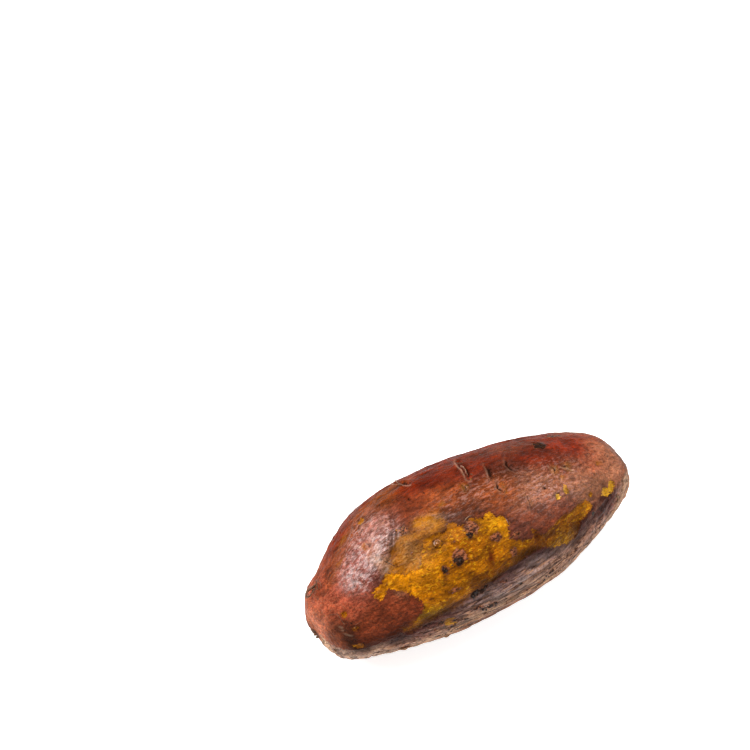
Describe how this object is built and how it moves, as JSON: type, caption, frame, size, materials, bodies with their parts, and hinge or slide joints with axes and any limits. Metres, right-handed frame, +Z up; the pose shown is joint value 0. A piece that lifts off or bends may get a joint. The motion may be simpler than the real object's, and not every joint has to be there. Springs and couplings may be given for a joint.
{
  "type": "sweet potato",
  "caption": "Whole baked sweet potato in its skin: a long, slightly bent root, fullest near its blunt end, tapering to a rounded tip and lying on a small flat spot.",
  "frame": {"origin": "on the resting surface, under the middle of the root's bounding box", "axes": "+X along the root's long axis, from the blunt vine end to the tip; +Z up from the flat spot it rests on; +Y across, away from the side that faces the viewer"},
  "size_m": [0.1481, 0.0664, 0.06],
  "materials": {
    "baked_skin": "satin, moist baked skin in red-brown, with yellow-orange where the skin has come off"
  },
  "bodies": {
    "root": {"sweet_potato": "baked_skin"}
  },
  "joints": []
}
